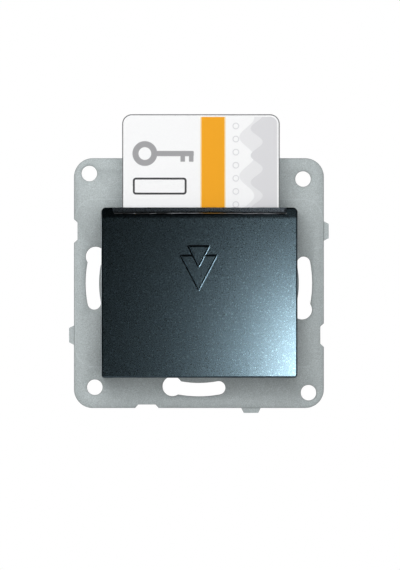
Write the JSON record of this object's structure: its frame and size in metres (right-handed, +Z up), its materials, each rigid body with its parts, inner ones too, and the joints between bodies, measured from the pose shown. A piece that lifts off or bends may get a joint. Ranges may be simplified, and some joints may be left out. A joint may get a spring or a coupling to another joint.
{
  "type": "hotel key card switch",
  "caption": "Flush wall switch worked by a key card that stands in a deep front hood on a square steel mounting frame.",
  "frame": {"origin": "centre of the square mounting frame's back face, which lies against the wall", "axes": "+Z up the wall, +Y into the wall, +X to the right of a person facing the switch; the front cover faces -Y"},
  "size_m": [0.0736, 0.0389, 0.0845],
  "materials": {
    "frame_steel": "galvanised sheet, fine spangle",
    "cover_lacquer": "satin anthracite lacquer with fine metallic grain",
    "card_plastic": "laminated white card with a printed stripe",
    "black_plastic": "moulded, fine texture",
    "grey_plastic": "moulded, smooth",
    "housing_plastic": "moulded thermoset, slightly mottled",
    "spring_steel": "drawn wire",
    "zinc_screw": "zinc plated",
    "claw_steel": "zinc plated stamping",
    "contact_brass": "rolled strip",
    "contact_silver": "silver contact rivet"
  },
  "bodies": {
    "switch_base": {"mounting_frame": "frame_steel", "front_cover": "cover_lacquer", "card_guide": "black_plastic", "card_springs": "spring_steel", "plunger_spring": "spring_steel", "mechanism_cover": "black_plastic", "housing": "housing_plastic", "assembly_screws": "zinc_screw", "lever_pin": "spring_steel", "fixed_tips": "contact_silver", "line_terminal": "contact_brass", "load_terminal": "contact_brass", "spare_terminal": "contact_brass", "clamp_plates": "zinc_screw", "terminal_screws": "zinc_screw"},
    "card": {"key_card": "card_plastic"},
    "plunger": {"card_plunger": "grey_plastic"},
    "lever": {"contact_lever": "grey_plastic", "moving_contact": "contact_brass", "moving_tips": "contact_silver"},
    "left_claw": {"left_claw": "claw_steel"},
    "right_claw": {"right_claw": "claw_steel"},
    "left_claw_screw": {"left_claw_screw": "zinc_screw"},
    "right_claw_screw": {"right_claw_screw": "zinc_screw"}
  },
  "joints": [
    {"name": "card_slide", "type": "slide", "parent": "switch_base", "child": "card", "axis": [0, 0, 1], "range_m": [0, 0.046]},
    {"name": "plunger_slide", "type": "slide", "parent": "switch_base", "child": "plunger", "axis": [0, 0, 1], "range_m": [0, 0.0026]},
    {"name": "lever_tilt", "type": "hinge", "parent": "switch_base", "child": "lever", "pos_m": [0, 0.0135, -0.0115], "axis": [-1, 0, 0], "range_deg": [0, 13.91]},
    {"name": "left_claw_screw_turn", "type": "hinge", "parent": "switch_base", "child": "left_claw_screw", "pos_m": [-0.0228, 0, 0], "axis": [0, 1, 0], "range_deg": [0, 1800]},
    {"name": "left_claw_swing", "type": "hinge", "parent": "switch_base", "child": "left_claw", "pos_m": [-0.0206, 0.0206, 0], "axis": [0, 0, -1], "range_deg": [0, 15]},
    {"name": "right_claw_screw_turn", "type": "hinge", "parent": "switch_base", "child": "right_claw_screw", "pos_m": [0.0228, 0, 0], "axis": [0, 1, 0], "range_deg": [0, 1800]},
    {"name": "right_claw_swing", "type": "hinge", "parent": "switch_base", "child": "right_claw", "pos_m": [0.0206, 0.0206, 0], "axis": [0, 0, 1], "range_deg": [0, 15]}
  ],
  "couplings": [
    {"joint": "plunger_slide", "follows": "card_slide", "ratio": 0.056521},
    {"joint": "lever_tilt", "follows": "card_slide", "rad_per_m": 5.2768},
    {"joint": "left_claw_swing", "follows": "left_claw_screw_turn", "ratio": 0.008333},
    {"joint": "right_claw_swing", "follows": "right_claw_screw_turn", "ratio": 0.008333}
  ]
}
